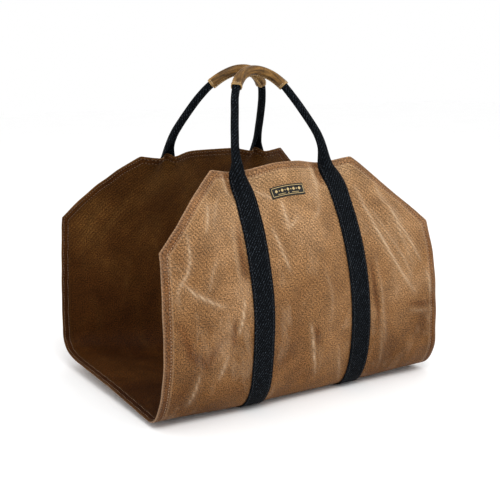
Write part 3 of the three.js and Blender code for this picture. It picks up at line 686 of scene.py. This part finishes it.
def canvas_sheet():
    x, signed, face, normal, edge, wax, deep, tone = sheet_layers()
    radius = HEM_THICKNESS / 2
    rounding = radius - np.sqrt(np.maximum(radius**2 - np.maximum(radius - edge, 0) ** 2, 0))
    hemmed = smoother((HEM_WIDTH + HEM_RAMP - edge) / HEM_RAMP)
    thick = CANVAS_THICKNESS + (HEM_THICKNESS - CANVAS_THICKNESS) * hemmed
    outer = face - normal * rounding[..., None]
    inner = (face - normal * (thick - rounding)[..., None])[::2, ::2]
    outer_at = np.arange(edge.size).reshape(edge.shape)
    inner_at = edge.size + np.arange(inner[..., 0].size).reshape(inner.shape[:2])
    outer_faces = grid_faces(*edge.shape, flip=True)
    inner_faces = grid_faces(*inner_at.shape, edge.size)
    rims = rim_faces(outer_at, inner_at)
    index = [0] * len(outer_faces) + [1] * len(inner_faces) + [0] * len(rims)

    def both(values):
        return np.concatenate([values.ravel(), values[::2, ::2].ravel()])

    # painted shade: a mask that darkens the seam grooves and the crease hollows
    grooves = 0.9 * bell(edge - EDGE_ROW, GROOVE_WIDTH) + bell(edge - FOLD_ROW, 1.5)
    attributes = {
        "wax": both(wax),
        "painted_hollow_shade": both(np.clip(deep / 1.4 + grooves, 0, 1)),
        "rim": both(bell(edge, 1.6) + 0.35 * bell(edge - HEM_WIDTH, 1.0)),
        "hem": both(smoother((11.5 - edge) / 3)),
        "tone": both(0.5 + 0.5 * tone),
    }
    points = np.concatenate([outer.reshape(-1, 3), inner.reshape(-1, 3)])
    sheet = make("waxed_canvas_sheet", points, outer_faces + inner_faces + rims, [OUTSIDE, INSIDE],
                 np.stack([both(x), both(signed)], 1), attributes, index)
    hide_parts("canvas_sheet")
    return sheet


def hem_line(side, inset):
    half = HALF[side]
    x1 = HALF_WIDTH - inset
    v1 = half - (x1 - CUT_START) * CUT_SLOPE - inset * CUT_RUN
    x2 = CUT_START + inset * (1 - CUT_RUN) / CUT_SLOPE
    v2 = half - inset
    corners = np.array([(-x1, 0), (-x1, v1), (-x2, v2), (x2, v2), (x1, v1), (x1, 0)])
    lengths = lengths_along(corners)
    s = (np.arange(int(lengths[-1] / STITCH_PITCH)) + 0.5) * STITCH_PITCH
    return side, *sampled(corners, lengths, s).T


def seam(name, rows, length, width, material, clear=0.0, inside=False):
    """Stitches along rows on the sheet, each a side, x and v. Clear leaves out those under the straps."""
    ats, alongs, normals = [], [], []
    for side, x, v in rows:
        at, normal = place_with_normal(x, side, v)
        keep = np.abs(np.abs(x) - STRAP_X) >= clear
        alongs.append(np.gradient(at, axis=0)[keep])
        if inside:
            at, normal = at - normal * (HEM_THICKNESS + 0.02), -normal
        ats.append(at[keep])
        normals.append(normal[keep])
    stitches(name, ats, alongs, normals, length, width, material)


sheet = canvas_sheet()
edge_rows = [hem_line(side, EDGE_ROW) for side in SIDES]
fold_rows = [hem_line(side, FOLD_ROW) for side in SIDES]
seam("hem_stitches_edge", edge_rows, 3.1, 0.7, BROWN_THREAD, clear=WEBBING_HALF + 1)
seam("hem_stitches_fold", fold_rows, 3.0, 0.8, TAN_THREAD, clear=WEBBING_HALF + 1)
seam("hem_stitches_inside", edge_rows + fold_rows, 3.1, 0.75, BROWN_THREAD, inside=True)


# Webbing and its handles
def catmull(points, count):
    """Centripetal Catmull-Rom through the points, sampled evenly in its parameter."""
    p = np.asarray(points, float)
    p = np.vstack([2 * p[0] - p[1], p, 2 * p[-1] - p[-2]])
    t = np.linspace(0, len(p) - 3, count)
    i = np.minimum(t.astype(int), len(p) - 4)
    w = (t - i)[:, None]
    p0, p1, p2, p3 = p[i], p[i + 1], p[i + 2], p[i + 3]
    d = [np.sqrt(np.linalg.norm(b - a, axis=1))[:, None] for a, b in ((p0, p1), (p1, p2), (p2, p3))]
    m1 = ((p1 - p0) / d[0] - (p2 - p0) / (d[0] + d[1]) + (p2 - p1) / d[1]) * d[1]
    m2 = ((p2 - p1) / d[1] - (p3 - p1) / (d[1] + d[2]) + (p3 - p2) / d[2]) * d[1]
    return p1 + m1 * w + (-3 * p1 + 3 * p2 - 2 * m1 - m2) * w**2 + (2 * p1 - 2 * p2 + m1 + m2) * w**3


STRAPS = np.array([-STRAP_X, STRAP_X])
HEM_HEIGHTS = [place(STRAPS, side, np.full(2, HALF[side]), False)[0][:, 2] for side in SIDES]
CREST_HEIGHT = HANDLE_RISE + np.mean(HEM_HEIGHTS)
HEM_LOOK_BACK, LEG_START, TANGENT_STEP, LINE_POINTS = 18.0, 6.0, 1.5, 6000
ROW_STEP, FLOOR_SHARE, FLOOR_ROWS, STRAP_ROWS, SMOOTH_PASSES = 2.4, 0.24, 30, 125, 40
EDGE_ROUND, EDGE_SHARE, SEW_LINE, SEW_PITCH = 0.5, 0.62, 13.0, 4.4


class Handle:
    """The way of one handle, with its frames at any distance along it."""

    def __init__(self, side):
        half = HALF[side]
        feet, self.foot_normals = place(STRAPS, side, np.full(2, half), False)
        below = place(STRAPS, side, np.full(2, half - HEM_LOOK_BACK), False)[0]
        ends = feet + self.foot_normals * (SEAT_GAP + WEBBING_THICKNESS / 2)
        starts = ends + unit(feet - below) * LEG_START
        way = []
        for across, up in ARCHES[side]:
            foot = ends[0] + (ends[1] - ends[0]) * (across + 1) / 2
            y = foot[1] + (side * CREST_SPACING / 2 - foot[1]) * min(1, up)
            way.append((foot[0], y, foot[2] + (CREST_HEIGHT - foot[2]) * up))
        self.side = side
        self.line = catmull([ends[0], starts[0], *way, starts[1], ends[1]], LINE_POINTS)
        self.s = lengths_along(self.line)
        self.length = self.s[-1]
        top = self.s[np.argmax(self.line[:, 2])]
        self.grip = (top - GRIP_LENGTH / 2, top + GRIP_LENGTH / 2)

    def frames(self, s):
        """At each distance: the place, the way out, the way across, and the angles of its two folds."""
        s = np.asarray(s, float)
        ahead, behind = np.minimum(s + TANGENT_STEP, self.length), np.maximum(s - TANGENT_STEP, 0)
        tangent = unit(sampled(self.line, self.s, ahead) - sampled(self.line, self.s, behind))
        turned = smoother(np.minimum(s, self.length - s) / ROLL_RUN)
        lean = math.radians(CREST_LEAN)
        facing = np.array([0, self.side * math.sin(lean), math.cos(lean)])
        first_half = s < self.length / 2
        foot = np.where(first_half[:, None], self.foot_normals[0], self.foot_normals[1])
        normal = foot + (facing - foot) * turned[:, None]
        normal = unit(normal - tangent * (normal * tangent).sum(1, keepdims=True))
        across = np.cross(tangent, normal) * -self.side
        pinched = np.where(first_half, *PINCHES[self.side])
        first = np.radians(ROLL_ANGLE * (pinched + (1 - pinched) * turned))
        at = sampled(self.line, self.s, s) + normal * (turned * ROLL_DEPTH / 2)[:, None]
        return at, normal, across, first, np.radians(ROLL_ANGLE) * turned


HANDLES = {side: Handle(side) for side in SIDES}
# places across the webbing, closer together in the middle
STRIP = np.concatenate([
    np.linspace(-WEBBING_HALF, -10, 6)[:-1], np.linspace(-10, 10, 15), np.linspace(10, WEBBING_HALF, 6)[1:],
])


def strap_middle(strap, side, v):
    """The webbing's middle layer over the canvas, rows up the strap by places across it."""
    v = np.asarray(v, float)[:, None]
    x = np.broadcast_to(strap + STRIP, (len(v), len(STRIP)))
    at, normal = place(x, side, np.broadcast_to(v, x.shape))
    tilt = bent(STRIP[None], fold_angle(np.full(v.shape, strap), side, v))[2]
    out = normal * np.cos(tilt)[..., None]
    out[..., 0] += np.sign(STRIP)[None] * np.sin(tilt)
    return at + out * (SEAT_GAP + WEBBING_THICKNESS / 2)


def handle_middle(handle, s):
    at, normal, across, first, second = handle.frames(s)
    out, deep, _ = bent(STRIP[None], first[:, None], second[:, None])
    return at[:, None] + across[:, None] * out[..., None] - normal[:, None] * deep[..., None]


def webbing_middle(side, rise, run):
    """The middle layer of one length of webbing, smoothed where the straps turn into the handle."""
    left = strap_middle(-STRAP_X, side, rise)
    right = strap_middle(STRAP_X, side, rise)[::-1, ::-1]
    grid = np.concatenate([left, handle_middle(HANDLES[side], run), right])
    below = rise - HALF[side]
    far = np.concatenate([below, np.minimum(run, HANDLES[side].length - run), below[::-1]])
    weight = (smoother((far + 3) / 6) * smoother((42 - far) / 14))[:, None, None]
    for _ in range(SMOOTH_PASSES):
        mean = (grid[:-2] + grid[2:]) / 2
        grid[1:-1] += (mean - grid[1:-1]) * 0.5 * weight[1:-1]
    return grid


def webbing(side):
    """One length of webbing: up one strap, through the handle and down the other, with its stitches."""
    handle, half = HANDLES[side], HALF[side]
    low = np.linspace(SEAT_GAP / 2, FLOOR_SHARE * half, FLOOR_ROWS)[:-1]
    rise = np.concatenate([low, np.linspace(FLOOR_SHARE * half, half, STRAP_ROWS)])
    run = np.linspace(0, handle.length, int(handle.length / ROW_STEP))[1:-1]
    grid = webbing_middle(side, rise, run)
    across = unit(np.gradient(grid, axis=1))
    normal = unit(np.cross(across, unit(np.gradient(grid, axis=0)))) * -side
    thick = np.full(len(STRIP), WEBBING_THICKNESS / 2)
    thick[[0, -1]] *= EDGE_SHARE
    top, bottom = grid + normal * thick[:, None], grid - normal * thick[:, None]
    left_edge = grid[:, :1] - across[:, :1] * EDGE_ROUND
    right_edge = grid[:, -1:] + across[:, -1:] * EDGE_ROUND
    rings = np.concatenate([top, right_edge, bottom[:, ::-1], left_edge], 1)
    rows, n = rings.shape[:2]
    outside = WEBBING_HALF + 0.6
    u = np.concatenate([STRIP, [outside], STRIP[::-1], [-outside]])
    uv = np.stack(np.broadcast_arrays(u, lengths_along(grid[:, len(STRIP) // 2])[:, None]), -1)
    ends = [list(range(n)), list(range(rows * n - n, rows * n))[::-1]]
    faces = grid_faces(rows, n, flip=side == FRONT, wrap=True)
    faces += ends if side == FRONT else [end[::-1] for end in ends]
    piece = make(f"twill_webbing_{NAMES[side]}", rings, faces, [WEBBING], uv)
    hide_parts(f"webbing_{NAMES[side]}")
    # a row of stitches down each edge of both straps, where the webbing is sewn to the canvas
    ats, alongs, normals = [], [], []
    for sewn_at in (-SEW_LINE, SEW_LINE):
        k = int(np.argmin(np.abs(STRIP - sewn_at)))
        for strap in (slice(0, len(rise) - 2), slice(rows - len(rise) + 2, rows)):
            far = lengths_along(top[strap, k])
            s = np.arange(2.5, far[-1] - 1, SEW_PITCH)
            ats.append(sampled(top[strap, k], far, s))
            normals.append(sampled(normal[strap, k], far, s))
            alongs.append(np.gradient(ats[-1], axis=0))
    stitches(f"strap_stitches_{NAMES[side]}", ats, alongs, normals, 3.2, 0.8, DARK_THREAD)


for side in SIDES:
    webbing(side)

# Leather grips: the room inside across and deep, how far they crown above it, and the flange sewn below them
GRIP_HALF, GRIP_DEEP, GRIP_CROWN, GRIP_FLANGE = 6.15, 8.35, 1.4, 2.1
GRIP_ROWS, KNOT_POINTS, SEAM_PITCH, END_ROW = 66, 25, 4.2, 3.4


def grip_sections():
    """The leather's outer and inner outlines round the rolled webbing, across by how deep."""
    wide, deep, crown, leather = GRIP_HALF, GRIP_DEEP, GRIP_CROWN, GRIP_LEATHER
    outer = [(0, -crown - leather), (3.6, -crown - leather * 0.97), (wide - 0.4, -crown - leather * 0.45),
             (wide + leather - 0.15, 1.2), (wide + leather, 0.55 * deep), (wide + leather * 0.75, deep - 0.8),
             (4.7, deep + leather * 0.75), (2.3, deep + leather * 1.15),
             (leather + 0.05, deep + leather + 0.9), (leather, deep + leather + 2),
             (0.25, deep + leather + GRIP_FLANGE)]
    inner = [(0, -crown), (3.4, -crown), (wide - 0.9, -crown + 0.25), (wide, 1.6), (wide, deep - 1.6),
             (wide - 1.2, deep - 0.2), (3.0, deep), (0.15, deep)]
    halves = [catmull(knots, KNOT_POINTS) for knots in (outer, inner)]
    return [np.concatenate([half, half[::-1] * [-1, 1]])[:-1] for half in halves]


def grip_leather(side):
    handle = HANDLES[side]
    s = np.linspace(*handle.grip, GRIP_ROWS)
    at, normal, across, _, _ = handle.frames(s)
    loop, hollow = grip_sections()
    t = (s - s[0]) / (s[-1] - s[0])
    swell = 1 + 0.012 * np.sin(t * 21) + 0.01 * np.sin(t * 37 + 1)
    rings = []
    for section, out in ((loop, swell), (hollow, np.ones(len(s)))):
        ring = at[:, None] + across[:, None] * (section[:, 0] * out[:, None])[..., None]
        rings.append(ring - normal[:, None] * section[:, 1][None, :, None])
    n = len(loop)
    count = len(s) * n
    flip = side == BACK
    faces = grid_faces(len(s), n, flip=not flip, wrap=True)
    faces += grid_faces(len(s), n, count, flip=flip, wrap=True)
    for r, turn in ((0, flip), (len(s) - 1, not flip)):
        for k in range(n):
            a, b = r * n + k, r * n + (k + 1) % n
            quad = [a, b, count + b, count + a]
            faces.append(quad[::-1] if turn else quad)
    uv = np.stack(np.broadcast_arrays(lengths_along(loop), (s - s[0])[:, None]), -1)
    flange = bell(loop[:, 1] - GRIP_DEEP - GRIP_LEATHER - GRIP_FLANGE, 0.9)
    rim = np.clip(bell(np.minimum(s - s[0], s[-1] - s), 2.2)[:, None] + 0.6 * flange, 0, 1)
    piece = make(f"leather_grip_{NAMES[side]}", rings, faces, [GRIP], [uv] * 2,
                 {"rim": [rim] * 2})
    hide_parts(f"grip_{NAMES[side]}")


def grip_stitches(side):
    """A seam along the flange, seen on both its faces, and a short row round each end."""
    handle = HANDLES[side]
    outside = GRIP_CROWN + GRIP_LEATHER
    at, normal, across, _, _ = handle.frames(np.arange(handle.grip[0] + 3, handle.grip[1] - 2, SEAM_PITCH))
    below = at - normal * (GRIP_DEEP + GRIP_LEATHER + 1.1)
    ats = [below + across * (k * (GRIP_LEATHER + 0.12)) for k in (-1, 1)]
    normals, alongs = [-across, across], [np.gradient(at, axis=0)] * 2
    for end in (handle.grip[0] + END_ROW, handle.grip[1] - END_ROW):
        at, normal, across, _, _ = handle.frames(np.array([end]))
        for k in range(-2, 3):
            ats.append(at + across * (k * 2.6) + normal * (outside - 0.02 * k * k))
            normals.append(normal)
            alongs.append(across)
        for k in (-1, 1):
            for down in (1.6, 4.2, 6.8):
                ats.append(at + across * (k * (GRIP_HALF + GRIP_LEATHER)) - normal * down)
                normals.append(across * k)
                alongs.append(normal)
    stitches(f"grip_stitches_{NAMES[side]}", ats, alongs, normals, 2.6, 0.7, PALE_THREAD)


for side in SIDES:
    grip_leather(side)
    grip_stitches(side)


# Label, from its own middle: the leather is rounded over at its rim, and the inlay stands a little higher
LABEL_THICKNESS, LABEL_SWELL, LABEL_ROUND, LABEL_COLUMNS, LABEL_ROWS = 1.1, 0.15, 0.8, 61, 21
INLAY_HEIGHT, BORDER_INSET, BORDER_ROUND, BORDER_STEP, MARK_PITCH = 0.32, 2.4, 1.2, 2.5, 4.9


def on_label(x, v):
    return place_with_normal(x + LABEL_OFFSET, FRONT, v + HALF[FRONT] - LABEL_DROP - LABEL_HEIGHT / 2)


def label():
    wide, high, n_x, n_v = LABEL_WIDTH / 2, LABEL_HEIGHT / 2, LABEL_COLUMNS, LABEL_ROWS
    x, v = np.meshgrid(np.linspace(-1, 1, n_x) * wide, np.linspace(-1, 1, n_v) * high)
    inset = np.minimum(wide - np.abs(x), high - np.abs(v))
    at, normal = on_label(x, v)
    rise = SEAT_GAP + LABEL_THICKNESS * np.sqrt(np.clip(inset / LABEL_ROUND, 0, 1)) + LABEL_SWELL
    rise = rise - 0.28 * bell(inset - 3.4, 0.5)
    points = [at + normal * rise[..., None], at + normal * SEAT_GAP]
    count = n_x * n_v
    faces = grid_faces(n_v, n_x) + grid_faces(n_v, n_x, count, flip=True)
    order = np.arange(count).reshape(n_v, n_x)
    ring = np.concatenate([order[0], order[1:, -1], order[-1, -2::-1], order[-2:0:-1, 0]]).tolist()
    faces += [[b, a, a + count, b + count] for a, b in zip(ring, ring[1:] + ring[:1])]
    uv, rim = np.stack([x, v], -1), bell(inset, LABEL_ROUND)
    piece = make("label_patch_leather", points, faces, [LABEL], [uv] * 2, {"rim": [rim] * 2})
    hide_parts("label_patch")


def border_line():
    """A rounded rectangle inside the label's rim, in short steps."""
    wide = LABEL_WIDTH / 2 - BORDER_INSET - BORDER_ROUND
    high = LABEL_HEIGHT / 2 - BORDER_INSET - BORDER_ROUND
    corner = [(math.cos(t), math.sin(t)) for t in np.linspace(0, math.pi / 2, 5)]
    path = []
    for k, (sx, sy) in enumerate(((1, 1), (-1, 1), (-1, -1), (1, -1))):
        for a, b in corner:
            a, b = (a, b) if k % 2 == 0 else (b, a)
            path.append((sx * (wide + BORDER_ROUND * a), sy * (high + BORDER_ROUND * b)))
    line = []
    for p, q in zip(path, path[1:] + path[:1]):
        steps = max(1, int(math.dist(p, q) / BORDER_STEP))
        line += np.linspace(p, q, steps, endpoint=False).tolist()
    return line


def label_inlay():
    """A border, a row of diamonds, and two bars beside one more diamond: nothing that reads as writing."""
    points, faces = [], []

    def raised(x, v):
        """The first new point's number, and the places at the inlay's top and on the leather."""
        at, normal = on_label(x, v)
        low = SEAT_GAP + LABEL_THICKNESS
        return sum(map(len, points)), at + normal * (low + INLAY_HEIGHT), at + normal * low

    def strip(line, width, closed=False):
        line = np.array(line, float)
        ahead = np.roll(line, -1, 0) - np.roll(line, 1, 0) if closed else np.gradient(line, axis=0)
        side = unit(ahead)[:, ::-1] * [1, -1] * width / 2
        pair = np.stack([line - side, line + side], 1)
        first, top, low = raised(pair[..., 0], pair[..., 1])
        points.append(np.concatenate([top[:, 0], top[:, 1], low[:, 0], low[:, 1]]))
        n = len(line)
        for k in range(n if closed else n - 1):
            m = (k + 1) % n
            for i, j in ((0, 1), (2, 0), (1, 3)):
                faces.append([first + i * n + k, first + j * n + k, first + j * n + m, first + i * n + m])

    def lozenge(x, v, wide, high):
        corners = np.array([(x - wide, v), (x, v - high), (x + wide, v), (x, v + high)])
        first, top, low = raised(corners[:, 0], corners[:, 1])
        points.append(np.concatenate([top, low]))
        faces.append([first, first + 1, first + 2, first + 3])
        for k in range(4):
            m = (k + 1) % 4
            faces.append([first + m, first + k, first + 4 + k, first + 4 + m])

    strip(border_line(), 0.65, closed=True)
    for k in range(-4, 5):
        size = 2.6 if k % 2 == 0 else 1.1
        lozenge(k * MARK_PITCH, 0.9, size, size)
    for middle in (-11.5, 11.5):
        strip([(middle - 6 + 1.5 * t, -3.9) for t in range(9)], 0.6)
    lozenge(0, -3.9, 1.2, 1.0)
    make("label_inlay", np.concatenate(points), faces, [INLAY])


label()
label_inlay()

# Stage, light and camera, in metres and radians
FLOOR_HALF, LAMP_WIDTH = 9, 1.0
CAMERA_AT, YAW, DIP, ROLL = (-0.700355, -1.133334, 0.447639), 0.556383, 0.193499, -0.007982
LENS, SENSOR = 65.525, 36.0


def pale_floor():
    material, tree, shader = nodes_of("pale_floor")
    ground = add("ShaderNodeTexCoord", {}, tree).outputs["Object"]
    tree.links.new(grey_ramp(noise(ground, 3.0, 3.0), (0.3, 0.985), (0.7, 1.0)), shader.inputs["Base Color"])
    shader.inputs["Roughness"].default_value = 0.9
    mesh = bpy.data.meshes.new("floor")
    corners = [(x * FLOOR_HALF, y * FLOOR_HALF, 0) for x, y in ((-1, -1), (1, -1), (1, 1), (-1, 1))]
    mesh.from_pydata(corners, [], [(0, 1, 2, 3)])
    mesh.materials.append(material)
    floor = linked("floor", mesh)


def studio_world():
    world = bpy.data.worlds.new("studio")
    bpy.context.scene.world = world
    world.use_nodes = True
    background = world.node_tree.nodes["Background"]
    background.inputs[0].default_value = (1, 1, 1, 1)
    background.inputs[1].default_value = 1.0
    bpy.context.scene.view_settings.view_transform = "Standard"


def softbox(name, lamp_at, target, power):
    light = bpy.data.lights.new(name, "AREA")
    light.shape, light.size, light.energy = "SQUARE", LAMP_WIDTH, power
    lamp = linked(name, light)
    lamp.location = lamp_at
    lamp.rotation_euler = (Vector(target) - Vector(lamp_at)).to_track_quat("-Z", "Y").to_euler()


def photo_camera():
    """The camera that was fitted to the photo, from its yaw, its dip below level, and its roll."""
    forward = Vector((math.sin(YAW) * math.cos(DIP), math.cos(YAW) * math.cos(DIP), -math.sin(DIP)))
    level = Vector((math.cos(YAW), -math.sin(YAW), 0))
    upright = level.cross(forward)
    right = level * math.cos(ROLL) + upright * math.sin(ROLL)
    up = upright * math.cos(ROLL) - level * math.sin(ROLL)
    camera = linked("camera", bpy.data.cameras.new("camera"))
    camera.data.lens, camera.data.sensor_width = LENS, SENSOR
    rows = [(right[k], up[k], -forward[k], CAMERA_AT[k]) for k in range(3)]
    camera.matrix_world = Matrix(rows + [(0, 0, 0, 1)])
    bpy.context.scene.camera = camera


pale_floor()
studio_world()
softbox("key", (-0.6, -1.5, 2.2), target=(0, 0, 0.15), power=26)
softbox("side", (1.9, -1.0, 1.3), target=(0, 0, 0.2), power=8)
photo_camera()
